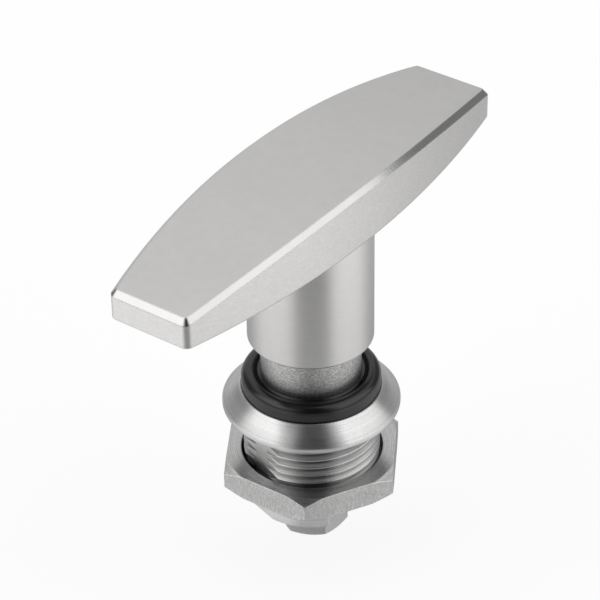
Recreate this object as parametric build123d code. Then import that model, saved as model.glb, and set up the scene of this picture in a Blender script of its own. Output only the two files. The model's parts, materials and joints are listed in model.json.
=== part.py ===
from build123d import *
import math
import os

# Compression latch with a T grip, in millimetres. The origin is on the axis, on the underside
# of the flange (the panel's outer face), +Z points out of the panel to the grip, and X and Y
# are square to the body's flats. The pieces stand as fitted: shaft drawn in, cam at its stop.

# Fits and gaps
run_gap = 0.05  # radial gap of a turning or sliding fit
end_gap = 0.1  # gap between faces that pass or meet end to end
seal_gap = 0.02  # between a rubber lip and the metal that turns in it
overshoot = 1.0  # how far a cutting shape reaches past the face it cuts
seam_tolerance = 0.001  # how near a point counts as lying on a face
corner_slope = 30.0  # angle at which the corners of the nut and the screw head are turned down

# Body: flange, thread, flats and stop lug
flange_diameter = 28.4
flange_rim = 0.75
flange_height = 3.5
cone_top_diameter = 22.9
thread_diameter = 21.9
relief_diameter = 20.0
relief_height = 0.7
width_over_flats = 20.1
end_chamfer = 0.55
lug_height = 2.5
lug_sweep = 135.0
lug_direction = 180.0

# Lip seal round the spindle, and the ring that seals the flange on the panel
seal_diameter = 22.3
seal_recess = 0.5
seal_height = 3.15
seal_bead_height = 3.3
seal_lip_width = 0.5
seal_valley_width = 0.3
seal_valley_depth = 0.6
seal_slope_share = 0.19  # of the bead's width, as the two next
seal_bead_round_share = 0.62
seal_crest_round_share = 0.17
panel_ring_diameter = 24.8
panel_ring_section = 1.2
panel_ring_stand_out = 0.2

# Inner stack: spindle, thrust washer, guide sleeve, output shaft
neck_diameter = 16.0
neck_length = 13.5
shoulder_depth = 0.6
thrust_thickness = 0.8
web_thickness = 1.4
cam_wall = 1.35
sleeve_wall = 1.65
sleeve_collar = 1.5
sleeve_floor = 1.2
shaft_diameter = 11.2
shaft_cap = 1.25
stop_height = 1.1
body_stop_sweep = 90.0
stop_slack = 0.5
body_stop_start = 40.0

# Motion: the grip swings the shaft, then turns on alone and the cam moves it along the axis
swing_angle = 90.0
draw_angle = 90.0
stroke = 6.0
swing_from_closed = 17.0
cross_pin_diameter = 2.5
cross_pin_direction = 100.0
cross_pin_chamfer = 0.2

# Wire rings that hold the spindle and the sleeve in the body
spindle_ring_wire = 1.0
spindle_ring_height = 0.9
sleeve_ring_wire = 0.9
ring_opening = 24.0

# Spring between spindle and shaft
spring_wire = 0.9
spring_diameter = 10.4
spring_turns = 5.5
spring_room = 6.6
slip_washer_thickness = 0.5
slip_washer_hole = 4.0

# Tongue end: square, washer and screw
tongue_thickness = 3.0
tongue_pinch = 0.2
tongue_gap = 0.2
square_width = 8.0
square_corner_diameter = 10.4
end_washer_diameter = 12.0
end_washer_thickness = 1.6
end_washer_hole = 6.4
end_screw_core = 5.0
end_screw_head_width = 10.0
end_screw_head_height = 4.0
end_screw_corner_circle = 9.5
end_screw_length = 9.0
end_screw_direction = 43.5

# Lock nut
nut_width = 27.0
nut_thickness = 4.2
nut_drop = 9.05
nut_corner_circle = 28.2
nut_hole_chamfer = 0.45
nut_direction = 18.6

# Grip: hub, square socket and a bar that is crowned on top and bellied underneath
hub_diameter = 20.0
hub_length = 21.8
hub_edge = 0.35
tang_width = 11.0
tang_length = 15.0
bar_length = 78.7
bar_side_step = 1.15  # how far the middle of the bar stands out past the hub, on each side
bar_end_width = 14.1
bar_middle_height = 9.6
bar_end_height = 4.8
bar_belly = 1.0
bar_corner_round = 1.3
bar_edge_chamfer = 0.85
bar_lower_round = 0.25
hub_blend = 0.8
grub_diameter = 5.0
grub_height = 7.5
grub_recess = 0.5
grub_key_width = 2.5
grub_key_depth = 2.0

# Levels along the axis, from the flange down to the screw
recess_floor = flange_height - seal_recess
thrust_top = -shoulder_depth
web_top = thrust_top - thrust_thickness
web_bottom = web_top - web_thickness
sleeve_top = web_bottom - end_gap
collar_top = web_bottom - stop_height - end_gap
slot_top = collar_top - sleeve_collar
slot_half = cross_pin_diameter / 2 + run_gap
pin_level = slot_top - end_gap - slot_half
pin_low_level = pin_level - stroke
slot_bottom = pin_low_level - slot_half - end_gap
body_end = slot_bottom - sleeve_floor
cam_end = slot_bottom + 2 * end_gap
lug_end = body_end - lug_height
tongue_seat = body_end - tongue_gap
square_end = tongue_seat - tongue_thickness + tongue_pinch
washer_end = square_end - end_washer_thickness
shaft_top = pin_level + cross_pin_diameter / 2 + shaft_cap
slip_washer_top = shaft_top + slip_washer_thickness
spring_top = thrust_top + spring_room
hub_bottom = thrust_top + neck_length
bar_bottom = hub_bottom + hub_length

# Radii and widths that follow from the fits
neck_bore = neck_diameter / 2 + run_gap
cam_bore = shaft_diameter / 2 + run_gap
cam_radius = cam_bore + cam_wall
sleeve_bore = cam_radius + run_gap
sleeve_radius = sleeve_bore + sleeve_wall
body_bore = sleeve_radius + run_gap
bar_middle_width = hub_diameter + 2 * bar_side_step


def disc(radius, bottom, top, hole=0.0):
    """Round plate or tube on the axis between two levels."""
    outline = Circle(radius)
    if hole > 0:
        outline -= Circle(hole)
    return Pos(0, 0, bottom) * extrude(outline, top - bottom)


def prism(width, sides, bottom, top, direction=0.0):
    """Square or hexagon bar by its width over flats, with one flat facing the direction."""
    turn = direction + 180 / sides
    outline = RegularPolygon(width / 2, sides, major_radius=False, rotation=turn)
    return Pos(0, 0, bottom) * extrude(outline, top - bottom)


def turned(points):
    """Solid turned about the axis from (radius, level) points."""
    outline = make_face(Plane.XZ * Polyline(*points, close=True))
    return revolve(outline, Axis.Z)


def sector(inner, outer, bottom, top, start, sweep):
    """Part of a ring from a start angle over a sweep, in degrees."""
    corners = [(inner, bottom), (outer, bottom), (outer, top), (inner, top)]
    outline = make_face(Plane.XZ * Polyline(*corners, close=True))
    return Rot(0, 0, start) * revolve(outline, Axis.Z, revolution_arc=sweep)


def wire_ring(ring_radius, wire, level, opening):
    """Open ring of round wire."""
    section = Plane.XZ * Pos(ring_radius, level) * Circle(wire / 2)
    return Rot(0, 0, opening / 2) * revolve(section, Axis.Z, revolution_arc=360 - opening)


def ring_groove(floor_radius, mouth_radius, wire, level):
    """Square groove for a wire ring, from its floor to its mouth."""
    half = wire / 2 + run_gap
    inner = min(floor_radius, mouth_radius)
    outer = max(floor_radius, mouth_radius)
    return disc(outer, level - half, level + half, inner)


def cross_bar(radius, reach, level, direction):
    """Round bar across the axis."""
    return Pos(0, 0, level) * Rot(0, 0, direction) * Rot(0, 90, 0) * Cylinder(radius, 2 * reach)


spindle_ring_radius = neck_bore
spindle_groove_floor = neck_diameter / 2 - spindle_ring_wire
sleeve_ring_radius = body_bore
sleeve_groove_floor = sleeve_radius - sleeve_ring_wire
sleeve_ring_level = collar_top - sleeve_collar / 2
panel_groove_depth = panel_ring_section - panel_ring_stand_out
sleeve_stop_sweep = 360 - body_stop_sweep - swing_angle - 2 * stop_slack
sleeve_stop_start = body_stop_start + body_stop_sweep + swing_from_closed + stop_slack


def make_body():
    """Threaded body: cone flange, four flats, stepped bore, swing stop inside and lug at the end."""
    thread = thread_diameter / 2
    profile = [
        (0, 0),
        (0, flange_height),
        (cone_top_diameter / 2, flange_height),
        (flange_diameter / 2, flange_rim),
        (flange_diameter / 2, 0),
    ]
    flange = turned(profile)
    shank = turned([
        (0, 0),
        (relief_diameter / 2, 0),
        (relief_diameter / 2, -relief_height),
        (thread, -relief_height - (thread - relief_diameter / 2)),
        (thread, body_end + end_chamfer),
        (thread - end_chamfer, body_end),
        (0, body_end),
    ])
    lug_start = lug_direction - lug_sweep / 2
    lug = sector(body_bore, thread - end_chamfer, lug_end, body_end, lug_start, lug_sweep)
    shank = (shank + lug) & prism(width_over_flats, 4, lug_end, 0)
    body = flange + shank
    body -= disc(seal_diameter / 2 + run_gap, recess_floor, flange_height)
    body -= disc(neck_bore, web_top, recess_floor)
    body -= disc(sleeve_bore, web_bottom, web_top)
    body -= disc(body_bore, body_end, web_bottom)
    body += sector(sleeve_bore, body_bore, web_bottom - stop_height, web_bottom,
                   body_stop_start, body_stop_sweep)
    body -= ring_groove(spindle_ring_radius + spindle_ring_wire / 2 + run_gap, neck_bore,
                        spindle_ring_wire, spindle_ring_height)
    body -= ring_groove(sleeve_ring_radius + sleeve_ring_wire / 2 + run_gap, body_bore,
                        sleeve_ring_wire, sleeve_ring_level)
    groove_half = panel_ring_section / 2 + run_gap
    body -= disc(panel_ring_diameter / 2 + groove_half, 0, panel_groove_depth,
                 panel_ring_diameter / 2 - groove_half)
    return body


def make_shaft_seal():
    """Lip seal: a rounded outer bead, a valley and a thin lip that wipes the spindle."""
    inner = neck_diameter / 2 + seal_gap
    outer = seal_diameter / 2
    valley = inner + seal_lip_width + seal_valley_width
    bead_width = outer - valley
    crest = valley + seal_slope_share * bead_width
    bead_top = recess_floor + seal_bead_height
    lip_top = recess_floor + seal_height
    section = make_face(Polyline(
        (inner, recess_floor),
        (outer, recess_floor),
        (outer, bead_top),
        (crest, bead_top),
        (valley, bead_top - seal_valley_depth),
        (inner + seal_lip_width, lip_top),
        (inner, lip_top),
        close=True,
    ))
    for radius, share in ((outer, seal_bead_round_share), (crest, seal_crest_round_share)):
        corner = section.vertices().sort_by_distance((radius, bead_top))[0]
        section = fillet(corner, share * bead_width)
    return revolve(Plane.XZ * section, Axis.Z)


def make_panel_ring():
    """Rubber ring in the groove under the flange."""
    level = panel_groove_depth - panel_ring_section / 2
    section = Plane.XZ * Pos(panel_ring_diameter / 2, level) * Circle(panel_ring_section / 2)
    return revolve(section, Axis.Z)


def make_lock_nut():
    """Thin hexagon nut with its corners turned down on both faces."""
    top = -nut_drop
    bottom = top - nut_thickness
    nut = prism(nut_width, 6, bottom, top, nut_direction)
    corner = nut_width / math.sqrt(3) + overshoot
    circle = nut_corner_circle / 2
    drop = (corner - circle) * math.tan(math.radians(corner_slope))
    nut &= turned([
        (0, bottom),
        (circle, bottom),
        (corner, bottom + drop),
        (corner, top - drop),
        (circle, top),
        (0, top),
    ])
    hole = thread_diameter / 2 + run_gap
    mouth = hole + nut_hole_chamfer
    nut -= turned([
        (0, bottom),
        (mouth, bottom),
        (hole, bottom + nut_hole_chamfer),
        (hole, top - nut_hole_chamfer),
        (mouth, top),
        (0, top),
    ])
    return nut


def make_thrust_washer():
    """Washer that carries the clamping pull of the spindle's shoulder."""
    return disc(neck_bore - run_gap, web_top, thrust_top, sleeve_bore)


def make_spindle_ring():
    return wire_ring(spindle_ring_radius, spindle_ring_wire, spindle_ring_height, ring_opening)


def make_sleeve_ring():
    return wire_ring(sleeve_ring_radius, sleeve_ring_wire, sleeve_ring_level, ring_opening)


def cam_slot(direction):
    """Helical slot that ends in a straight mouth: the cross pin enters there and climbs the stroke."""
    middle = (cam_bore + cam_radius) / 2
    depth = cam_radius - cam_bore + 2 * overshoot
    path = Helix(pitch=stroke * 360 / draw_angle, height=stroke, radius=middle)
    start = path @ 0
    side = Plane(origin=start, x_dir=(start.X, start.Y, 0), z_dir=path % 0)
    thread = sweep(side * Rectangle(depth, 2 * slot_half), path=path, is_frenet=True)
    low_end = Pos(middle, 0, 0) * Rot(0, 90, 0) * Cylinder(slot_half, depth)
    high_end = Pos(0, 0, stroke) * Rot(0, 0, draw_angle) * low_end
    mouth_drop = pin_low_level - cam_end + overshoot
    mouth = Pos(middle, 0, -mouth_drop / 2) * Box(depth, 2 * slot_half, mouth_drop)
    slot = thread + low_end + high_end + mouth
    return Pos(0, 0, pin_low_level) * Rot(0, 0, direction - draw_angle) * slot


def make_cam_spindle():
    """Spindle: square tang, round neck, spring chamber and the slotted cam tube below the shoulder."""
    spindle = disc(neck_diameter / 2, thrust_top, hub_bottom)
    spindle += disc(cam_radius, cam_end, thrust_top)
    tang = prism(tang_width, 4, hub_bottom, hub_bottom + tang_length, swing_from_closed)
    tang = chamfer(tang.faces().sort_by(Axis.Z)[-1].edges(), hub_edge)
    spindle += tang
    spindle -= disc(cam_bore, cam_end, spring_top)
    spindle -= ring_groove(spindle_groove_floor, neck_diameter / 2 + overshoot,
                           spindle_ring_wire, spindle_ring_height)
    for half_turn in (0, 180):
        spindle -= cam_slot(cross_pin_direction + half_turn)
    return spindle


def make_guide_sleeve():
    """Sleeve that turns the shaft: stop sector on top, ring groove, two straight slots and a floor."""
    past = sleeve_radius + overshoot
    sleeve = disc(sleeve_radius, slot_bottom, collar_top, sleeve_bore)
    sleeve += disc(sleeve_radius, body_end, slot_bottom, cam_bore)
    sleeve += sector(sleeve_bore, sleeve_radius, collar_top, sleeve_top,
                     sleeve_stop_start, sleeve_stop_sweep)
    sleeve -= ring_groove(sleeve_groove_floor, past, sleeve_ring_wire, sleeve_ring_level)
    slot = Box(2 * past, 2 * slot_half, slot_top - slot_bottom)
    slot = Pos(0, 0, (slot_top + slot_bottom) / 2) * Rot(0, 0, cross_pin_direction) * slot
    return sleeve - (slot & disc(past, slot_bottom, slot_top, cam_bore))


def make_output_shaft():
    """Shaft with a pin hole, a square for the tongue and a tapped hole in its end."""
    shaft = disc(shaft_diameter / 2, tongue_seat, shaft_top)
    square = prism(square_width, 4, square_end, tongue_seat)
    shaft += square & disc(square_corner_diameter / 2, square_end, tongue_seat)
    shaft -= cross_bar(cross_pin_diameter / 2, shaft_diameter, pin_level, cross_pin_direction)
    hole_top = washer_end + end_screw_length + 2 * end_gap
    return shaft - disc(end_screw_core / 2, square_end, hole_top)


def make_cross_pin():
    """Pin through the shaft; both ends reach through the cam into the sleeve's slots."""
    pin = cross_bar(cross_pin_diameter / 2, sleeve_radius - end_gap, pin_level, cross_pin_direction)
    return chamfer(pin.edges().filter_by(GeomType.CIRCLE), cross_pin_chamfer)


def make_slip_washer():
    return disc(cam_bore - 2 * run_gap, shaft_top, slip_washer_top, slip_washer_hole / 2)


def make_spring():
    """Coil spring that takes the play out of the cam."""
    height = spring_top - slip_washer_top - spring_wire
    radius = (spring_diameter - spring_wire) / 2
    path = Pos(0, 0, slip_washer_top + spring_wire / 2) * Helix(height / spring_turns, height, radius)
    section = Plane(origin=path @ 0, z_dir=path % 0) * Circle(spring_wire / 2)
    return sweep(section, path=path, is_frenet=True)


def make_end_washer():
    return disc(end_washer_diameter / 2, washer_end, square_end, end_washer_hole / 2)


def make_end_screw():
    """Hexagon screw that clamps the tongue on the square."""
    head_end = washer_end - end_screw_head_height
    head = prism(end_screw_head_width, 6, head_end, washer_end, end_screw_direction)
    corner = end_screw_head_width / math.sqrt(3) + overshoot
    circle = end_screw_corner_circle / 2
    drop = (corner - circle) * math.tan(math.radians(corner_slope))
    head &= turned([
        (0, head_end),
        (circle, head_end),
        (corner, head_end + drop),
        (corner, washer_end),
        (0, washer_end),
    ])
    return head + disc(end_screw_core / 2 - run_gap / 2, washer_end, washer_end + end_screw_length)


def arc_by_sag(half_chord, middle, end):
    """Arc through (-half_chord, end), (0, middle) and (half_chord, end)."""
    return ThreePointArc((-half_chord, end), (0, middle), (half_chord, end))


def make_grip():
    """T grip: a bar with bowed sides, top and underside on a round hub with a square socket."""
    half = bar_length / 2
    end_bottom = bar_bottom + bar_belly
    front = arc_by_sag(half, -bar_middle_width / 2, -bar_end_width / 2)
    back = arc_by_sag(half, bar_middle_width / 2, bar_end_width / 2)
    ends = [Line(front @ 0, back @ 0), Line(front @ 1, back @ 1)]
    bar = Pos(0, 0, bar_bottom) * extrude(make_face([front, back, *ends]), bar_middle_height)
    bar = fillet(bar.edges().filter_by(Axis.Z), bar_corner_round)
    crown = arc_by_sag(half, bar_bottom + bar_middle_height, end_bottom + bar_end_height)
    belly = arc_by_sag(half, bar_bottom, end_bottom)
    side = [crown, belly, Line(crown @ 0, belly @ 0), Line(crown @ 1, belly @ 1)]
    bar &= extrude(make_face([Plane.XZ * edge for edge in side]), bar_middle_width, both=True)
    bar = chamfer(bar.faces().sort_by(Axis.Z)[-1].edges(), bar_edge_chamfer)
    bar = fillet(bar.faces().sort_by(Axis.Z)[0].edges(), bar_lower_round)
    hub = disc(hub_diameter / 2, hub_bottom, end_bottom)
    hub = chamfer(hub.faces().sort_by(Axis.Z)[0].edges(), hub_edge)
    grip = bar + hub
    grip = fillet(grip.edges().filter_by(is_under_bar), hub_blend)
    grip -= prism(tang_width + 2 * run_gap, 4, hub_bottom, hub_bottom + tang_length + end_gap)
    grip -= grub_hole(tang_width / 2, hub_diameter)
    return Rot(0, 0, swing_from_closed) * grip


def is_under_bar(edge):
    """True for the edge where the hub meets the underside of the bar."""
    middle = edge @ 0.5
    on_hub = abs(math.hypot(middle.X, middle.Y) - hub_diameter / 2) < seam_tolerance
    return on_hub and middle.Z > hub_bottom + hub_length / 2


def grub_hole(near, far):
    """Radial cylinder for the grub screw on the side of the hub away from the front."""
    level = hub_bottom + grub_height
    length = far - near
    return Pos(0, near + length / 2, level) * Rot(90, 0, 0) * Cylinder(grub_diameter / 2, length)


def make_grub_screw():
    """Socket set screw that presses on the tang."""
    near = tang_width / 2
    far = hub_diameter / 2 - grub_recess
    level = hub_bottom + grub_height
    round_bar = Cylinder(grub_diameter / 2 - run_gap / 2, far - near)
    screw = Pos(0, (near + far) / 2, level) * Rot(90, 0, 0) * round_bar
    key = extrude(RegularPolygon(grub_key_width / 2, 6, major_radius=False), grub_key_depth)
    screw -= Pos(0, far, level) * Rot(90, 0, 0) * key
    return Rot(0, 0, swing_from_closed) * screw


makers = {
    "threaded_body": make_body,
    "shaft_seal": make_shaft_seal,
    "panel_ring": make_panel_ring,
    "lock_nut": make_lock_nut,
    "thrust_washer": make_thrust_washer,
    "spindle_snap_ring": make_spindle_ring,
    "sleeve_snap_ring": make_sleeve_ring,
    "guide_sleeve": make_guide_sleeve,
    "cam_spindle": make_cam_spindle,
    "t_grip": make_grip,
    "grub_screw": make_grub_screw,
    "output_shaft": make_output_shaft,
    "cross_pin": make_cross_pin,
    "slip_washer": make_slip_washer,
    "return_spring": make_spring,
    "tongue_washer": make_end_washer,
    "tongue_screw": make_end_screw,
}

os.makedirs("parts", exist_ok=True)
for name, maker in makers.items():
    piece = maker()
    piece.label = name
    export_step(piece, f"parts/{name}.step")
    print(name, "volume", round(piece.volume, 1))
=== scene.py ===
import json
import math

import bmesh
import bpy
from mathutils import Matrix, Vector

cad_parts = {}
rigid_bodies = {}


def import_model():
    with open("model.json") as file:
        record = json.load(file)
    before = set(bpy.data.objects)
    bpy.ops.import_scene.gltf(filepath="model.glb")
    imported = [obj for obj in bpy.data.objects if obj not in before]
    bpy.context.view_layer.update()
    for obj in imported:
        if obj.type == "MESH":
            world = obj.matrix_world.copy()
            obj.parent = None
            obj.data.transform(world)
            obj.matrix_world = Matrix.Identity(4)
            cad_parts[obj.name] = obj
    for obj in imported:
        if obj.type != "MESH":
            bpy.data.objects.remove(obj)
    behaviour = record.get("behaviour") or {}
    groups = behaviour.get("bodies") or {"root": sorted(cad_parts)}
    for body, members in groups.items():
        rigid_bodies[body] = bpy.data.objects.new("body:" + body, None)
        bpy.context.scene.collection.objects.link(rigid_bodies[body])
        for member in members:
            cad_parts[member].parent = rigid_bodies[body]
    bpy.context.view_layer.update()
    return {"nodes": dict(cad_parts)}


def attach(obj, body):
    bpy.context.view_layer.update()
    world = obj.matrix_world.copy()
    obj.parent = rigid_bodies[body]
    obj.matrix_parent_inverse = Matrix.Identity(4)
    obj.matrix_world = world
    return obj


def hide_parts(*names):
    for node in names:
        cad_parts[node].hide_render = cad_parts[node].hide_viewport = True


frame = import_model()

print("frame loaded:", len(frame["nodes"]), "nodes")

mm = 0.001
scene = bpy.context.scene
scene.view_settings.view_transform = "Standard"
linkToScene = scene.collection.objects.link

cameraSetup = {
    "target": (-1.277, 0.941, 19.209), "distance": 454.04,  # mm
    "azimuth": -36.388, "elevation": 35.044, "roll": -0.869,  # degrees
    "lens": 175.064, "sensor": 36,  # mm
    "nearest": 0.01, "farthest": 10,  # m
}


def makeCamera(setup):
    turn, rise, roll = (math.radians(setup[key]) for key in ("azimuth", "elevation", "roll"))
    back = Vector((math.sin(turn) * math.cos(rise), -math.cos(turn) * math.cos(rise), math.sin(rise)))
    right = Vector((math.cos(turn), math.sin(turn), 0))
    up = back.cross(right)
    rolledRight = right * math.cos(roll) + up * math.sin(roll)
    rolledUp = up * math.cos(roll) - right * math.sin(roll)
    axes = Matrix((rolledRight, rolledUp, back)).transposed().to_4x4()
    place = (Vector(setup["target"]) + back * setup["distance"]) * mm
    data = bpy.data.cameras.new("camera")
    data.lens = setup["lens"]
    data.sensor_width = setup["sensor"]
    data.clip_start = setup["nearest"]
    data.clip_end = setup["farthest"]
    camera = bpy.data.objects.new("camera", data)
    linkToScene(camera)
    camera.matrix_world = Matrix.Translation(place) @ axes
    scene.camera = camera
    return back


towardCamera = makeCamera(cameraSetup)
frontAngle = math.degrees(math.atan2(towardCamera.y, towardCamera.x))
print("camera ready")


def feed(tree, socket, value):
    if isinstance(value, bpy.types.NodeSocket):
        tree.links.new(value, socket)
    else:
        socket.default_value = value


def addNode(tree, kind, inputs=None, **settings):
    node = tree.nodes.new(kind)
    for key, value in settings.items():
        setattr(node, key, value)
    for key, value in (inputs or {}).items():
        feed(tree, node.inputs[key], value)
    return node


def calc(tree, operation, *values):
    return addNode(tree, "ShaderNodeMath", dict(enumerate(values)), operation=operation).outputs[0]


def times(tree, product, *others):
    for other in others:
        product = calc(tree, "MULTIPLY", product, other)
    return product


def vectorCalc(tree, operation, *values):
    keys = (0, "Scale") if operation == "SCALE" else (0, 1)
    node = addNode(tree, "ShaderNodeVectorMath", dict(zip(keys, values)), operation=operation)
    return node.outputs["Value" if operation in ("DOT_PRODUCT", "LENGTH") else "Vector"]


def split(tree, vector):
    return addNode(tree, "ShaderNodeSeparateXYZ", {"Vector": vector}).outputs


def join(tree, x, y):
    return addNode(tree, "ShaderNodeCombineXYZ", {"X": x, "Y": y}).outputs[0]


def fromAxis(tree, parts):
    return vectorCalc(tree, "LENGTH", join(tree, parts["X"], parts["Y"]))


def surfaceNormal(tree):
    return addNode(tree, "ShaderNodeNewGeometry").outputs["Normal"]


def remap(tree, value, low, high, toLow=0.0, toHigh=1.0, smooth=False):
    kind = "SMOOTHSTEP" if smooth else "LINEAR"
    inputs = {"Value": value, "From Min": low, "From Max": high, "To Min": toLow, "To Max": toHigh}
    return addNode(tree, "ShaderNodeMapRange", inputs, interpolation_type=kind).outputs["Result"]


def between(tree, value, low, high, soft):
    rise = remap(tree, value, low - soft, low + soft, 0.0, 1.0, smooth=True)
    return times(tree, rise, remap(tree, value, high - soft, high + soft, 1.0, 0.0, smooth=True))


def mixColor(tree, amount, first, second, blend="MIX"):
    inputs = {0: amount, 6: first, 7: second}
    return addNode(tree, "ShaderNodeMix", inputs, data_type="RGBA", blend_type=blend).outputs[2]


def blendValue(tree, amount, first, second):
    return addNode(tree, "ShaderNodeMix", {0: amount, 2: first, 3: second}, data_type="FLOAT").outputs[0]


def mixShaders(tree, amount, first, second):
    return addNode(tree, "ShaderNodeMixShader", {0: amount, 1: first, 2: second}).outputs[0]


def noise(tree, vector, scale, detail, **more):
    inputs = {"Vector": vector, "Scale": scale, "Detail": detail, **more}
    return addNode(tree, "ShaderNodeTexNoise", inputs).outputs[0]


noiseRange = (0.3, 0.7)  # most of a noise lies between these
narrowRange = (0.35, 0.65)


def newGroup(name, inputs, outputs):  # an input with a float is a value, any other is a vector
    group = bpy.data.node_groups.new(name, "ShaderNodeTree")
    for label, value in {"Vector": (0, 0, 0), **inputs}.items():
        kind = "NodeSocketFloat" if isinstance(value, float) else "NodeSocketVector"
        group.interface.new_socket(label, in_out="INPUT", socket_type=kind).default_value = value
    for label in outputs:
        kind = "NodeSocketVector" if label == "Normal" else "NodeSocketFloat"
        group.interface.new_socket(label, in_out="OUTPUT", socket_type=kind)
    return group, group.nodes.new("NodeGroupInput").outputs, group.nodes.new("NodeGroupOutput").inputs


def finishGroup(group, result, **values):
    for label, value in values.items():
        group.links.new(value, result[label])
    return group


def useGroup(tree, group, vector, **inputs):
    return addNode(tree, "ShaderNodeGroup", {"Vector": vector, **inputs}, node_tree=group).outputs


ringPattern = {"driftScale": 160.0, "driftDetail": 1.0, "detail": 2.0, "roughness": 0.65, "bandScale": 0.13}


def makeTurnedRings(setup):
    inputs = {"Fineness": 9000.0, "Wobble": 0.00005}
    group, given, result = newGroup("turnedRings", inputs, ("Rings", "Bands"))
    parts = split(group, given["Vector"])
    drift = noise(group, given["Vector"], setup["driftScale"], setup["driftDetail"])
    shift = times(group, calc(group, "SUBTRACT", drift, 0.5), given["Wobble"])
    across = calc(group, "ADD", fromAxis(group, parts), shift)
    along = calc(group, "ADD", parts["Z"], shift)
    rings = join(group, across, along)
    fine = noise(group, rings, given["Fineness"], setup["detail"], Roughness=setup["roughness"])
    broad = noise(group, rings, times(group, given["Fineness"], setup["bandScale"]), setup["detail"])
    return finishGroup(group, result, Rings=fine, Bands=broad)


streakPattern = {"detail": 3.0, "roughness": 0.6}


def makeStreaks(setup):
    inputs = {"Stretch": (0.03, 1.0, 1.0), "Fineness": 7000.0}
    group, given, result = newGroup("streaks", inputs, ("Streaks",))
    pulled = vectorCalc(group, "MULTIPLY", given["Vector"], given["Stretch"])
    fine = noise(group, pulled, given["Fineness"], setup["detail"], Roughness=setup["roughness"])
    return finishGroup(group, result, Streaks=fine)


wearAndGlintPattern = {"bendLow": 0.02, "bendHigh": 0.22, "chipScale": 900.0, "chipDetail": 3.0, "samples": 4}


# lighter edges: partly real edge wear, partly a painted highlight along the edges
def makeEdgeWearAndGlint(setup):
    group, given, result = newGroup("edgeWearAndGlint", {"Width": 0.00015, "Breakup": 0.35}, ("Mask", "Normal"))
    bevel = addNode(group, "ShaderNodeBevel", {"Radius": given["Width"]}, samples=setup["samples"])
    rounded = bevel.outputs[0]
    bend = calc(group, "SUBTRACT", 1.0, vectorCalc(group, "DOT_PRODUCT", rounded, surfaceNormal(group)))
    edge = remap(group, bend, setup["bendLow"], setup["bendHigh"], 0.0, 1.0, smooth=True)
    chips = noise(group, given["Vector"], setup["chipScale"], setup["chipDetail"])
    worn = remap(group, chips, *narrowRange, calc(group, "SUBTRACT", 1.0, given["Breakup"]), 1.0)
    return finishGroup(group, result, Mask=times(group, edge, worn), Normal=rounded)


satinPattern = {"detail": 2.0, "roughness": 0.7, "cloudScale": 0.12, "cloudDetail": 3.0}


def makeSatin(setup):
    group, given, result = newGroup("satin", {"Fineness": 5000.0}, ("Mottle", "Clouds"))
    fine = noise(group, given["Vector"], given["Fineness"], setup["detail"], Roughness=setup["roughness"])
    scale = times(group, given["Fineness"], setup["cloudScale"])
    broad = noise(group, given["Vector"], scale, setup["cloudDetail"])
    mottle = remap(group, fine, *noiseRange)
    clouds = remap(group, broad, *noiseRange, smooth=True)
    return finishGroup(group, result, Mottle=mottle, Clouds=clouds)


handlingPattern = {"detail": 4.0, "roughness": 0.6, "swirl": 0.4, "speckScale": 45.0, "speckDetail": 2.0}


def makeHandling(setup):
    group, given, result = newGroup("handling", {"Size": 120.0}, ("Smudges", "Specks"))
    broad = noise(group, given["Vector"], given["Size"], setup["detail"],
                  Roughness=setup["roughness"], Distortion=setup["swirl"])
    scale = times(group, given["Size"], setup["speckScale"])
    fine = noise(group, given["Vector"], scale, setup["speckDetail"])
    smudges = remap(group, broad, *noiseRange, smooth=True)
    specks = remap(group, fine, *noiseRange)
    return finishGroup(group, result, Smudges=smudges, Specks=specks)


turnedRings = makeTurnedRings(ringPattern)
streaks = makeStreaks(streakPattern)
satin = makeSatin(satinPattern)
edgeWearAndGlint = makeEdgeWearAndGlint(wearAndGlintPattern)
handling = makeHandling(handlingPattern)
print("shared patterns ready")


def newMaterial(name):
    material = bpy.data.materials.new(name)
    material.use_nodes = True
    tree = material.node_tree
    shader = tree.nodes["Principled BSDF"]
    place = tree.nodes.new("ShaderNodeTexCoord").outputs["Object"]
    return material, tree, shader, place


def setShader(tree, shader, **values):
    for key, value in values.items():
        feed(tree, shader.inputs[key.replace("_", " ")], value)


def gray(level, warm=0.0):
    return (level * (1 + warm), level, level * (1 - warm), 1)


# lightens the edges: partly real wear, partly a painted highlight
def wornAndGlintColor(tree, setup, tone, mask):
    base = mixColor(tree, 1.0, gray(setup["tone"], setup["warm"]), tone, "MULTIPLY")
    return mixColor(tree, times(tree, mask, setup["wearAndGlint"]), base, gray(setup["wearAndGlintTone"]))


def bumpTo(tree, shader, height, strength, distance, normal=None):
    inputs = {"Height": height, "Strength": strength, "Distance": distance}
    if normal is not None:
        inputs["Normal"] = normal
    tree.links.new(addNode(tree, "ShaderNodeBump", inputs).outputs[0], shader.inputs["Normal"])


gripFinish = {
    "tone": 0.70, "warm": 0.010, "undersideShadeTone": 0.5, "smudgeTone": 0.975, "smudgeSize": 90.0,
    "roughness": (0.32, 0.37),  # clean and smudged
    "satinDepth": 0.05, "bump": 0.12, "bumpDepth": 0.00002,
    "hubTop": 0.0345, "hubFade": 0.0006,  # m
    "ringDepth": 0.09, "ringFineness": 5200.0,
    "brushDepth": 0.09, "brushFineness": 4200.0, "brushStretch": (0.35, 0.35, 1.0),
    "edgeTone": 0.87, "edgeRoughness": 0.14, "edgeWidth": 0.00032, "wearAndGlint": 0.12, "wearAndGlintTone": 0.80,
    "sideFace": (0.2, 0.4), "undersideShadeFace": (-0.9, -0.6),  # how far up a face looks, from -1 to 1; faces looking down get painted shade
    "chamferLow": (0.45, 0.6), "chamferHigh": (0.85, 0.95),
}


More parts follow.
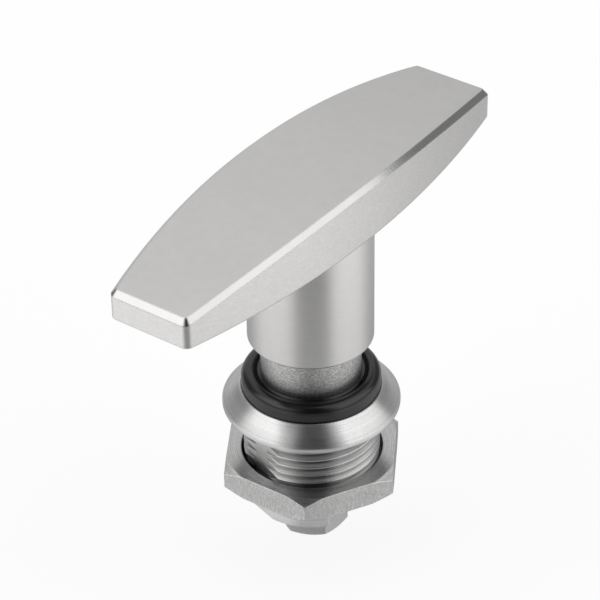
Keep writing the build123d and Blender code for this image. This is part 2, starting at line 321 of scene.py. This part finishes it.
def makeGripSteel(setup):
    material, tree, shader, place = newMaterial("satinGripSteel")
    blasted = useGroup(tree, satin, place)
    turned = useGroup(tree, turnedRings, place, Fineness=setup["ringFineness"])
    marks = useGroup(tree, handling, place, Size=setup["smudgeSize"])
    brushed = useGroup(tree, streaks, place, Stretch=setup["brushStretch"], Fineness=setup["brushFineness"])
    wearAndGlint = useGroup(tree, edgeWearAndGlint, place, Width=setup["edgeWidth"])
    level = split(tree, place)["Z"]
    upward = split(tree, surfaceNormal(tree))["Z"]
    onBar = remap(tree, level, setup["hubTop"], setup["hubTop"] + setup["hubFade"], smooth=True)
    onSide = times(tree, remap(tree, upward, *setup["sideFace"], 1.0, 0.0), onBar)
    onChamfer = times(
        tree, remap(tree, upward, *setup["chamferLow"]), remap(tree, upward, *setup["chamferHigh"], 1.0, 0.0))
    barTone = remap(tree, blasted["Mottle"], 0.0, 1.0, 1.0 - setup["satinDepth"], 1.0)
    hubTone = remap(tree, turned["Rings"], *noiseRange, 1.0 - setup["ringDepth"], 1.0)
    brushDepth = setup["brushDepth"]
    brushTone = remap(tree, brushed["Streaks"], *noiseRange, 1.0 - brushDepth, 1.0 + brushDepth / 2)
    tone = times(
        tree, blendValue(tree, onBar, hubTone, barTone),
        remap(tree, marks["Smudges"], 0.0, 1.0, setup["smudgeTone"], 1.0),
        remap(tree, blasted["Clouds"], 0.0, 1.0, setup["smudgeTone"], 1.0),
        blendValue(tree, onSide, 1.0, brushTone),
        blendValue(tree, onChamfer, 1.0, setup["edgeTone"]),
        # painted shade: faces looking down are darkened
        remap(tree, upward, *setup["undersideShadeFace"], setup["undersideShadeTone"], 1.0))
    face = remap(tree, marks["Smudges"], 0.0, 1.0, *setup["roughness"])
    rough = blendValue(tree, onChamfer, face, setup["edgeRoughness"])
    base = wornAndGlintColor(tree, setup, tone, wearAndGlint["Mask"])
    setShader(tree, shader, Base_Color=base, Roughness=rough, Metallic=1.0)
    bumpTo(tree, shader, blasted["Mottle"], setup["bump"], setup["bumpDepth"], wearAndGlint["Normal"])
    return material


turnedShared = {
    "bandTone": 0.94, "wearAndGlintTone": 0.92, "smudgeSize": 160.0, "smudgeRoughness": (-0.03, 0.04),
    "bump": 0.18, "bumpDepth": 0.00003, "grainTurn": 0.25,  # turns
    "flatFace": (0.3, 0.7),  # how far up or down a face looks, from 0 to 1
}
turnedFinish = {
    "bodySteel": {
        "tone": 0.84, "warm": 0.004, "roughness": 0.30, "faceRoughness": 0.30, "grain": 0.22, "speckle": 0.22,
        "edgeWidth": 0.00022, "wearAndGlint": 0.6, "anisotropic": 0.75, "fineness": 6500.0},
    "nutSteel": {
        "tone": 0.86, "warm": 0.004, "roughness": 0.42, "faceRoughness": 0.24, "grain": 0.30, "speckle": 0.42,
        "edgeWidth": 0.00025, "wearAndGlint": 0.65, "anisotropic": 0.5, "fineness": 5200.0,
        "sideFace": (0.02, 0.2), "sideStretch": (1.0, 1.0, 0.2),
        "chamferLow": 0.80, "chamferHigh": 0.93, "chamferSoft": 0.03, "chamferLean": 0.6},
    "machinedSteel": {
        "tone": 0.60, "warm": 0.0, "roughness": 0.32, "faceRoughness": 0.32, "grain": 0.10, "speckle": 0.06,
        "edgeWidth": 0.00015, "wearAndGlint": 0.45, "anisotropic": 0.4, "fineness": 7000.0},
    "fastenerSteel": {
        "tone": 0.60, "warm": 0.003, "roughness": 0.52, "faceRoughness": 0.52, "grain": 0.18, "speckle": 0.14,
        "edgeWidth": 0.00015, "wearAndGlint": 0.45, "anisotropic": 0.3, "fineness": 6000.0},
}
# painted shade: the thread's roots are darkened like shaded recesses, except on the flats
threadRootShade = {
    "low": -0.0150, "high": -0.0010, "soft": 0.0002, "root": 0.01010, "crest": 0.01065,  # m
    "tone": 0.35, "flats": (0.985, 0.998),
}
nutGapShade = {"low": -0.0131, "high": -0.0096, "soft": 0.0004, "tone": 0.25}  # lengths in m; painted shade on the body in the nut's gap
nutBoreShade = {"radius": 0.0113, "fade": 0.0002, "tone": 0.12}  # lengths in m; painted shade in the nut's bore


# painted shade on the body: darker thread roots and a darker band in the nut's gap
def paintedShadeOnBody(tree, spot, facing):
    squarest = calc(tree, "MAXIMUM", calc(tree, "ABSOLUTE", facing["X"]), calc(tree, "ABSOLUTE", facing["Y"]))
    offFlats = remap(tree, squarest, *threadRootShade["flats"], 1.0, 0.0)
    height = between(tree, spot["Z"], threadRootShade["low"], threadRootShade["high"], threadRootShade["soft"])
    onThread = times(tree, offFlats, height)
    radius = fromAxis(tree, spot)
    groove = remap(tree, radius, threadRootShade["root"], threadRootShade["crest"], threadRootShade["tone"], 1.0)
    inGap = between(tree, spot["Z"], nutGapShade["low"], nutGapShade["high"], nutGapShade["soft"])
    return times(tree, blendValue(tree, onThread, 1.0, groove), blendValue(tree, inGap, 1.0, nutGapShade["tone"]))


# painted shade: the nut's bore is darkened
def paintedShadeOnNut(tree, spot, facing):
    edge = nutBoreShade["radius"]
    return remap(tree, fromAxis(tree, spot), edge, edge + nutBoreShade["fade"], nutBoreShade["tone"], 1.0)


paintedShade = {"bodySteel": paintedShadeOnBody, "nutSteel": paintedShadeOnNut}


def leanChamfer(tree, setup, facing, normal):  # shades the turned-down corners as if they were flatter
    onChamfer = between(tree, facing["Z"], setup["chamferLow"], setup["chamferHigh"], setup["chamferSoft"])
    lean = vectorCalc(tree, "SCALE", (0, 0, 1), times(tree, onChamfer, setup["chamferLean"]))
    return vectorCalc(tree, "NORMALIZE", vectorCalc(tree, "ADD", normal, lean))


def makeTurnedSteel(name, setup):
    material, tree, shader, place = newMaterial(name)
    rings = useGroup(tree, turnedRings, place, Fineness=setup["fineness"])
    marks = useGroup(tree, handling, place, Size=setup["smudgeSize"])
    wearAndGlint = useGroup(tree, edgeWearAndGlint, place, Width=setup["edgeWidth"])
    facing = split(tree, surfaceNormal(tree))
    upward = calc(tree, "ABSOLUTE", facing["Z"])
    grain, normal = rings["Rings"], wearAndGlint["Normal"]
    if "sideStretch" in setup:
        drawn = useGroup(tree, streaks, place, Stretch=setup["sideStretch"], Fineness=setup["fineness"])
        grain = blendValue(tree, remap(tree, upward, *setup["sideFace"], 1.0, 0.0), grain, drawn["Streaks"])
    if "chamferLean" in setup:
        normal = leanChamfer(tree, setup, facing, normal)
    tone = times(
        tree, remap(tree, grain, *noiseRange, 1.0 - setup["grain"], 1.0),
        remap(tree, rings["Bands"], *narrowRange, setup["bandTone"], 1.0),
        remap(tree, marks["Specks"], 0.0, 1.0, 1.0 - setup["speckle"], 1.0))
    # painted shade in the thread's roots, the nut's gap and the nut's bore
    if name in paintedShade:
        tone = times(tree, tone, paintedShade[name](tree, split(tree, place), facing))
    onFace = remap(tree, upward, *setup["flatFace"])
    rough = blendValue(tree, onFace, setup["roughness"], setup["faceRoughness"])
    rough = calc(tree, "ADD", rough, remap(tree, marks["Smudges"], 0.0, 1.0, *setup["smudgeRoughness"]))
    around = addNode(tree, "ShaderNodeTangent", direction_type="RADIAL", axis="Z").outputs[0]
    base = wornAndGlintColor(tree, setup, tone, wearAndGlint["Mask"])
    setShader(tree, shader, Base_Color=base, Roughness=rough, Metallic=1.0, Tangent=around,
              Anisotropic=setup["anisotropic"], Anisotropic_Rotation=setup["grainTurn"])
    bumpTo(tree, shader, grain, setup["bump"], setup["bumpDepth"], normal)
    return material


castFinish = {
    "tone": 0.60, "warm": 0.008, "smudgeTone": 0.9, "smudgeSize": 220.0, "wearAndGlint": 0.3, "wearAndGlintTone": 0.7,
    "lumpScale": 7500.0, "lumpDetail": 4.0, "lumpRoughness": 0.7, "stretch": (0.4, 0.4, 1.0),
    "pitScale": 6000.0, "pitDepth": 0.6, "bump": 0.55, "bumpDepth": 0.00008,
    "heights": (0.5, 0.95), "heightTones": (0.5, 1.15),
    "roughHeights": (0.4, 1.1), "roughness": (0.48, 0.34),
    "sealShadeLow": 0.0056, "sealShadeHigh": 0.0078, "sealShadeTone": 0.45,  # levels in m; painted shade on the neck just above the seal
}


def makeCastSteel(setup):
    material, tree, shader, place = newMaterial("castNeckSteel")
    marks = useGroup(tree, handling, place, Size=setup["smudgeSize"])
    wearAndGlint = useGroup(tree, edgeWearAndGlint, place)
    drawn = vectorCalc(tree, "MULTIPLY", place, setup["stretch"])
    lumps = noise(tree, drawn, setup["lumpScale"], setup["lumpDetail"], Roughness=setup["lumpRoughness"])
    pits = addNode(tree, "ShaderNodeTexVoronoi", {"Vector": drawn, "Scale": setup["pitScale"]}).outputs
    height = calc(tree, "ADD", lumps, times(tree, pits["Distance"], setup["pitDepth"]))
    level = split(tree, place)["Z"]
    # the last factor is painted shade, darkening the neck towards the seal
    tone = times(
        tree, remap(tree, height, *setup["heights"], *setup["heightTones"]),
        remap(tree, marks["Smudges"], 0.0, 1.0, setup["smudgeTone"], 1.0),
        remap(tree, level, setup["sealShadeLow"], setup["sealShadeHigh"], setup["sealShadeTone"], 1.0, smooth=True))
    rough = remap(tree, height, *setup["roughHeights"], *setup["roughness"])
    base = wornAndGlintColor(tree, setup, tone, wearAndGlint["Mask"])
    setShader(tree, shader, Base_Color=base, Roughness=rough, Metallic=1.0)
    bumpTo(tree, shader, height, setup["bump"], setup["bumpDepth"])
    return material


rubberFinish = {
    "tone": 0.004, "bloomTone": 0.008, "bloom": 0.6, "smudgeSize": 260.0, "shine": 0.56,
    "roughness": (0.14, 0.27),  # clean and smudged
    "edgeWidth": 0.0003, "wearAndGlint": 0.3, "wearAndGlintTone": 0.03, "bump": 0.08, "bumpDepth": 0.00003,
}


def makeSealRubber(setup):
    material, tree, shader, place = newMaterial("sealRubber")
    marks = useGroup(tree, handling, place, Size=setup["smudgeSize"])
    wearAndGlint = useGroup(tree, edgeWearAndGlint, place, Width=setup["edgeWidth"])
    bloom = times(tree, marks["Smudges"], setup["bloom"])
    base = mixColor(tree, bloom, gray(setup["tone"]), gray(setup["bloomTone"]))
    # lighter edges on the rubber: partly real wear, partly a painted highlight
    base = mixColor(tree, times(tree, wearAndGlint["Mask"], setup["wearAndGlint"]), base, gray(setup["wearAndGlintTone"]))
    rough = remap(tree, marks["Smudges"], 0.0, 1.0, *setup["roughness"])
    setShader(tree, shader, Base_Color=base, Roughness=rough, Specular_IOR_Level=setup["shine"])
    bumpTo(tree, shader, marks["Specks"], setup["bump"], setup["bumpDepth"])
    return material


plainFinish = {
    "springWire": {
        "color": (0.52, 0.52, 0.52, 1), "marks": "Specks", "markTone": 0.88, "markSize": 300.0,
        "metallic": 1.0, "roughness": (0.26, 0.36), "bump": 0.1, "bumpDepth": 0.00002},
    "slidePlastic": {
        "color": (0.80, 0.80, 0.76, 1), "marks": "Smudges", "markTone": 0.92, "markSize": 200.0,
        "metallic": 0.0, "roughness": (0.40, 0.53), "bump": 0.1, "bumpDepth": 0.00003},
}


def makePlain(name, setup):
    material, tree, shader, place = newMaterial(name)
    marks = useGroup(tree, handling, place, Size=setup["markSize"])
    tone = remap(tree, marks[setup["marks"]], 0.0, 1.0, setup["markTone"], 1.0)
    base = mixColor(tree, 1.0, setup["color"], tone, "MULTIPLY")
    rough = remap(tree, marks["Smudges"], 0.0, 1.0, *setup["roughness"])
    setShader(tree, shader, Base_Color=base, Roughness=rough, Metallic=setup["metallic"])
    bumpTo(tree, shader, marks["Specks"], setup["bump"], setup["bumpDepth"])
    return material


steels = {name: makeTurnedSteel(name, {**turnedShared, **setup}) for name, setup in turnedFinish.items()}
gripSteel = makeGripSteel(gripFinish)
castSteel = makeCastSteel(castFinish)
sealRubber = makeSealRubber(rubberFinish)
springWire, slidePlastic = (makePlain(name, setup) for name, setup in plainFinish.items())

finishes = {
    "t_grip": gripSteel,
    "cam_spindle": castSteel,
    "shaft_seal": sealRubber,
    "panel_ring": sealRubber,
    "threaded_body": steels["bodySteel"],
    "lock_nut": steels["nutSteel"],
    "thrust_washer": slidePlastic,
    "slip_washer": slidePlastic,
    "spindle_snap_ring": springWire,
    "sleeve_snap_ring": springWire,
    "return_spring": springWire,
    "guide_sleeve": steels["machinedSteel"],
    "output_shaft": steels["machinedSteel"],
    "cross_pin": steels["machinedSteel"],
    "grub_screw": steels["fastenerSteel"],
    "tongue_washer": steels["fastenerSteel"],
    "tongue_screw": steels["fastenerSteel"],
}
for node, material in finishes.items():
    mesh = frame["nodes"][node].data
    mesh.materials.clear()
    mesh.materials.append(material)
print("materials ready:", len(finishes), "nodes finished")


def finishMesh(name, mesh):
    bmesh.ops.recalc_face_normals(mesh, faces=mesh.faces)
    data = bpy.data.meshes.new(name)
    mesh.to_mesh(data)
    mesh.free()
    item = bpy.data.objects.new(name, data)
    linkToScene(item)
    return item


def latheSolid(name, outline, steps=288, offset=0.0):  # outline in mm as (radius, level), offset in steps
    mesh = bmesh.new()
    rings = []
    for radius, level in outline:
        if radius == 0:
            rings.append([mesh.verts.new((0, 0, level))])
            continue
        angles = [2 * math.pi * (step + offset) / steps for step in range(steps)]
        rings.append([mesh.verts.new((radius * math.cos(angle), radius * math.sin(angle), level))
                      for angle in angles])
    closed = len(rings[0]) > 1
    pairs = list(zip(rings, rings[1:])) + ([(rings[-1], rings[0])] if closed else [])
    for first, second in pairs:
        for step in range(steps):
            after = (step + 1) % steps
            if len(first) == 1:
                mesh.faces.new((first[0], second[step], second[after]))
            elif len(second) == 1:
                mesh.faces.new((first[step], second[0], first[after]))
            else:
                mesh.faces.new((first[step], second[step], second[after], first[after]))
    return finishMesh(name, mesh)


def makeBox(name, low, high):
    mesh = bmesh.new()
    bmesh.ops.create_cube(mesh, size=1)
    for vertex in mesh.verts:
        vertex.co = Vector([(a + b) / 2 + c * (b - a) for a, b, c in zip(low, high, vertex.co)])
    return finishMesh(name, mesh)


def makeSector(name, inner, outer, low, high, start, sweep, steps):
    mesh = bmesh.new()
    rows = []
    for step in range(steps + 1):
        angle = math.radians(start + sweep * step / steps)
        rows.append([mesh.verts.new((radius * math.cos(angle), radius * math.sin(angle), level))
                     for radius, level in ((inner, low), (outer, low), (outer, high), (inner, high))])
    for first, second in zip(rows, rows[1:]):
        for index in range(4):
            after = (index + 1) % 4
            mesh.faces.new((first[index], first[after], second[after], second[index]))
    mesh.faces.new(rows[0])
    mesh.faces.new(list(reversed(rows[-1])))
    return finishMesh(name, mesh)


def combine(target, other, operation):
    modifier = target.modifiers.new("cut", "BOOLEAN")
    modifier.operation = operation
    modifier.solver = "EXACT"
    modifier.object = other
    bpy.context.view_layer.update()
    graph = bpy.context.evaluated_depsgraph_get()
    result = bpy.data.meshes.new_from_object(target.evaluated_get(graph))
    target.modifiers.clear()
    old, spent = target.data, other.data
    target.data = result
    bpy.data.objects.remove(other)
    bpy.data.meshes.remove(old)
    bpy.data.meshes.remove(spent)


def joinNearPoints(piece, distance):  # leaves no slivers where the cuts crossed
    mesh = bmesh.new()
    mesh.from_mesh(piece.data)
    bmesh.ops.remove_doubles(mesh, verts=mesh.verts, dist=distance)
    bmesh.ops.dissolve_degenerate(mesh, edges=mesh.edges, dist=distance)
    bmesh.ops.triangulate(mesh, faces=mesh.faces, quad_method="BEAUTY", ngon_method="BEAUTY")
    openEdges = sum(len(edge.link_faces) != 2 for edge in mesh.edges)
    mesh.to_mesh(piece.data)
    mesh.free()
    print(piece.name, "joined:", openEdges, "open edges")


body = {  # mm and degrees
    "flangeRadius": 14.2, "rim": 0.75, "flangeTop": 3.5, "coneTop": 11.45,
    "edgeBreak": 0.16, "breakFoot": 0.3, "breakRim": 0.5, "breakCone": 0.35,  # the last three in edge breaks
    "threadRadius": 10.95, "pitch": 1.5, "threadDepth": 0.84, "crest": 0.19, "rootRound": 0.12, "flank": 30.0,
    "threadTop": 4.0, "threadBottom": -19.0, "reliefRadius": 10.0, "relief": 0.7,
    "flats": 20.1, "end": -15.5, "endChamfer": 0.55,
    "lugEnd": -18.0, "lugSweep": 135.0, "lugDirection": 180.0,
    "sealSeat": 11.2, "seatLevel": 3.0, "neckBore": 8.05, "camBore": 7.05, "sleeveBore": 8.75,
    "webTop": -1.4, "webBottom": -2.8,
    "grooveInner": 11.75, "grooveOuter": 13.05, "grooveDepth": 1.0,
    "overlap": 0.3, "lugOverlap": 0.2, "sharpAngle": 25.0, "joinWithin": 0.001,
    "above": 5, "below": -20, "flatsTop": 1, "grooveStart": -1,  # levels where the cutting solids end
}
cutOffsets = {  # in steps, so that edges of two solids never coincide
    "thread": 0.3, "envelope": 0.3, "flange": 0.15, "bore": 0.4, "groove": 0.4,
}


def makeThreadSolid(setup, steps=96):
    pitch, top, bottom = setup["pitch"], setup["threadTop"], setup["threadBottom"]
    root = setup["threadRadius"] - setup["threadDepth"]
    slope = math.tan(math.radians(setup["flank"]))
    flank = setup["threadDepth"] * slope
    soft = setup["rootRound"]
    section = [  # radius, and how far below the turn's start
        (setup["threadRadius"], 0.0),
        (setup["threadRadius"], setup["crest"]),
        (root + soft, setup["crest"] + flank - soft * slope),
        (root, setup["crest"] + flank + soft),
        (root, pitch - flank - soft),
        (root + soft, pitch - flank + soft * slope),
    ]
    turns = math.ceil((top - bottom) / pitch)
    mesh = bmesh.new()
    columns = []
    for step in range((turns + 1) * steps + 1):
        angle = -2 * math.pi * (step + cutOffsets["thread"]) / steps
        drop = pitch * step / steps
        x, y, start = math.cos(angle), math.sin(angle), top - drop
        columns.append([mesh.verts.new((radius * x, radius * y, start - below)) for radius, below in section])
    last = len(columns) - 1
    for step in range(last - steps):
        here = columns[step] + [columns[step + steps][0]]
        after = columns[step + 1] + [columns[step + steps + 1][0]]
        for index in range(len(section)):
            mesh.faces.new((here[index], here[index + 1], after[index + 1], after[index]))
    for step in range(last - steps + 1, last + 1):
        bmesh.ops.delete(mesh, geom=columns[step][1:], context="VERTS")
    lowStart = last - steps
    upper = [column[0] for column in columns[:steps + 1]] + columns[0][:0:-1]
    lower = [column[0] for column in columns[lowStart:]] + columns[lowStart][:0:-1]
    for loop, level in ((upper, top + pitch), (lower, bottom - 3 * pitch)):
        tip = mesh.verts.new((0, 0, level))
        for index, vertex in enumerate(loop):
            mesh.faces.new((vertex, loop[(index + 1) % len(loop)], tip))
    return finishMesh("threadedBody", mesh)


def makeEnvelope(setup):
    over, end = setup["overlap"], setup["end"]
    outer = setup["threadRadius"] + over
    waist = setup["reliefRadius"]
    return latheSolid("envelope", [
        (0, over), (waist, over), (waist, -setup["relief"]),
        (outer, -setup["relief"] - (outer - waist)), (outer, end + setup["endChamfer"] + over),
        (setup["threadRadius"] - setup["endChamfer"], end), (0, end)], offset=cutOffsets["envelope"])


def makeLug(setup):
    start = setup["lugDirection"] - setup["lugSweep"] / 2
    inner = setup["sleeveBore"] - setup["overlap"]
    outer = setup["threadRadius"] - setup["endChamfer"]
    top = setup["end"] + setup["lugOverlap"]
    return makeSector("lug", inner, outer, setup["lugEnd"], top, start, setup["lugSweep"], steps=71)


def makeFlange(setup):
    radius, rim, edge = setup["flangeRadius"], setup["rim"], setup["edgeBreak"]
    foot, crown, cone = (edge * setup[key] for key in ("breakFoot", "breakRim", "breakCone"))
    top, coneTop = setup["flangeTop"], setup["coneTop"]
    return latheSolid("flange", [
        (0, 0), (radius - edge, 0), (radius - foot, foot), (radius, edge),
        (radius, rim - crown), (radius - cone, rim + cone),
        (coneTop + edge, top - edge), (coneTop, top), (0, top)], offset=cutOffsets["flange"])


def makeBore(setup):
    above, below = setup["above"], setup["below"]
    return latheSolid("bore", [
        (0, above), (setup["sealSeat"], above), (setup["sealSeat"], setup["seatLevel"]),
        (setup["neckBore"], setup["seatLevel"]), (setup["neckBore"], setup["webTop"]),
        (setup["camBore"], setup["webTop"]), (setup["camBore"], setup["webBottom"]),
        (setup["sleeveBore"], setup["webBottom"]), (setup["sleeveBore"], below), (0, below)],
        offset=cutOffsets["bore"])


def makeGroove(setup):
    inner, outer = setup["grooveInner"], setup["grooveOuter"]
    start, depth = setup["grooveStart"], setup["grooveDepth"]
    return latheSolid("groove", [(inner, start), (outer, start), (outer, depth), (inner, depth)],
                      offset=cutOffsets["groove"])


def makeThreadedBody(setup):
    half = setup["flats"] / 2
    low, high = (-half, -half, setup["below"]), (half, half, setup["flatsTop"])
    piece = makeThreadSolid(setup)
    combine(piece, makeEnvelope(setup), "INTERSECT")
    combine(piece, makeLug(setup), "UNION")
    combine(piece, makeBox("flats", low, high), "INTERSECT")
    combine(piece, makeFlange(setup), "UNION")
    combine(piece, makeBore(setup), "DIFFERENCE")
    combine(piece, makeGroove(setup), "DIFFERENCE")
    joinNearPoints(piece, setup["joinWithin"])
    piece.data.transform(Matrix.Scale(mm, 4))
    piece.data.materials.clear()
    piece.data.materials.append(steels["bodySteel"])
    for polygon in piece.data.polygons:
        polygon.material_index = 0
    piece.data.shade_smooth()
    piece.data.set_sharp_from_angle(angle=math.radians(setup["sharpAngle"]))
    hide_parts("threaded_body")
    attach(piece, "body")
    print("threaded body:", len(piece.data.polygons), "faces")


makeThreadedBody(body)


def makeBearing():  # turn from the camera's side and rise in degrees, and reach from the axis
    group, given, result = newGroup("bearing", {}, ("Turn", "Rise", "Reach"))
    inputs = {"Vector": given["Vector"], "Angle": -math.radians(frontAngle)}
    part = split(group, addNode(group, "ShaderNodeVectorRotate", inputs, rotation_type="Z_AXIS").outputs[0])
    reach = fromAxis(group, part)
    turn = calc(group, "DEGREES", calc(group, "ARCTAN2", part["Y"], part["X"]))
    rise = calc(group, "DEGREES", calc(group, "ARCTAN2", part["Z"], reach))
    return finishGroup(group, result, Turn=turn, Rise=rise, Reach=reach)


bearing = makeBearing()

floorSetup = {
    "level": -30.3, "size": 1600.0,  # mm
    "white": 0.9, "glow": 0.8, "glowLevel": 1.05,
    "nearReach": 0.017, "nearLevel": 0.60, "farReach": 0.114, "farLevel": 1.20,  # m and mirrored level
    "footReach": 0.030, "footSoft": 0.006, "footLevel": 0.94,
    "shadeFrom": -28, "shadeTo": 34, "shadeSoft": 12, "shadeNear": 0.62, "shadeFar": 0.40,  # degrees, level
    "shadeReach": 0.034, "shadeFade": 0.089,
    "sideStart": 82, "sideEnd": 130, "sideLevel": 0.52,
}


def mirroredFloor(tree, setup, spot):  # how bright the floor is in the metal's reflections, with a painted shadow: dimmer close to the object and in a wedge toward the camera
    reach, turn = spot["Reach"], spot["Turn"]
    # painted shadow: the floor's glow dims toward the object, as its shadow would
    level = remap(tree, reach, setup["nearReach"], setup["farReach"], setup["nearLevel"], setup["farLevel"])
    footEnd = setup["footReach"] + setup["footSoft"]
    foot = remap(tree, reach, setup["footReach"], footEnd, 1.0, 0.0, smooth=True)
    level = blendValue(tree, foot, level, setup["footLevel"])
    away = calc(tree, "ABSOLUTE", turn)
    sides = remap(tree, away, setup["sideStart"], setup["sideEnd"], 1.0, setup["sideLevel"], smooth=True)
    level = times(tree, level, sides)
    # painted shadow in a wedge on the camera's side, where the object's shadow falls
    shade = remap(tree, reach, setup["shadeReach"], setup["shadeFade"],
                  setup["shadeNear"], setup["shadeFar"], smooth=True)
    inShade = between(tree, turn, setup["shadeFrom"], setup["shadeTo"], setup["shadeSoft"])
    return blendValue(tree, inShade, level, shade)


def makePaleFloor(setup):
    material = bpy.data.materials.new("paleFloor")
    material.use_nodes = True
    tree = material.node_tree
    tree.nodes.clear()
    path = addNode(tree, "ShaderNodeLightPath").outputs
    surface = addNode(tree, "ShaderNodeNewGeometry").outputs
    mirror = mirroredFloor(tree, setup, useGroup(tree, bearing, surface["Position"]))
    matte = addNode(tree, "ShaderNodeBsdfDiffuse", {"Color": gray(setup["white"])}).outputs[0]
    glow, mirrored = (addNode(tree, "ShaderNodeEmission", {"Color": gray(1.0), "Strength": strength}).outputs[0]
                      for strength in (setup["glowLevel"], mirror))
    seen = mixShaders(tree, setup["glow"], matte, glow)
    plain = mixShaders(tree, path["Is Camera Ray"], matte, seen)
    lit = mixShaders(tree, path["Is Glossy Ray"], plain, mirrored)
    clear = addNode(tree, "ShaderNodeBsdfTransparent").outputs[0]
    total = mixShaders(tree, surface["Backfacing"], lit, clear)  # the floor is clear from below
    tree.links.new(total, tree.nodes.new("ShaderNodeOutputMaterial").inputs["Surface"])
    return material


def makeFloor(setup):
    mesh = bmesh.new()
    half = setup["size"] / 2 * mm
    corners = ((-half, -half), (half, -half), (half, half), (-half, half))
    mesh.faces.new([mesh.verts.new((x, y, setup["level"] * mm)) for x, y in corners])
    floor = finishMesh("studioFloor", mesh)
    floor.data.materials.append(makePaleFloor(setup))


studio = {
    "low": 0.56, "middle": 0.75, "high": 0.87,  # surround's level at each rise
    "lowRise": 0, "middleRise": 35, "highRise": 60,
    "boxes": [  # turn from the camera's side and rise, in degrees, soft edge, level
        {"turn": (-100, -44), "rise": (18, 68), "soft": 5, "level": 1.62},
        {"turn": (-142, -101), "rise": (-10, 38), "soft": 5, "level": 0.28},
        {"turn": (42, 110), "rise": (14, 64), "soft": 4, "level": 1.42},
        {"turn": (110, 158), "rise": (-10, 32), "soft": 4, "level": 0.26},
        {"turn": (-25, 31), "rise": (-5, 74), "soft": 12, "level": 0.05},
    ],
}


def makeStudio(setup):
    world = bpy.data.worlds.new("studio")
    world.use_nodes = True
    scene.world = world
    tree = world.node_tree
    tree.nodes.clear()
    way = useGroup(tree, bearing, addNode(tree, "ShaderNodeTexCoord").outputs["Generated"])
    level = remap(tree, way["Rise"], setup["lowRise"], setup["middleRise"], setup["low"], setup["middle"])
    upper = remap(tree, way["Rise"], setup["middleRise"], setup["highRise"])
    level = blendValue(tree, upper, level, setup["high"])
    for box in setup["boxes"]:
        across = between(tree, way["Turn"], *box["turn"], box["soft"])
        mask = times(tree, across, between(tree, way["Rise"], *box["rise"], box["soft"]))
        level = blendValue(tree, mask, level, box["level"])
    lit = addNode(tree, "ShaderNodeBackground", {"Color": gray(1.0), "Strength": level}).outputs[0]
    white = addNode(tree, "ShaderNodeBackground", {"Color": gray(1.0), "Strength": 1.0}).outputs[0]
    path = addNode(tree, "ShaderNodeLightPath").outputs
    total = mixShaders(tree, path["Is Camera Ray"], lit, white)
    tree.links.new(total, tree.nodes.new("ShaderNodeOutputWorld").inputs["Surface"])


makeFloor(floorSetup)
makeStudio(studio)
print("studio ready")
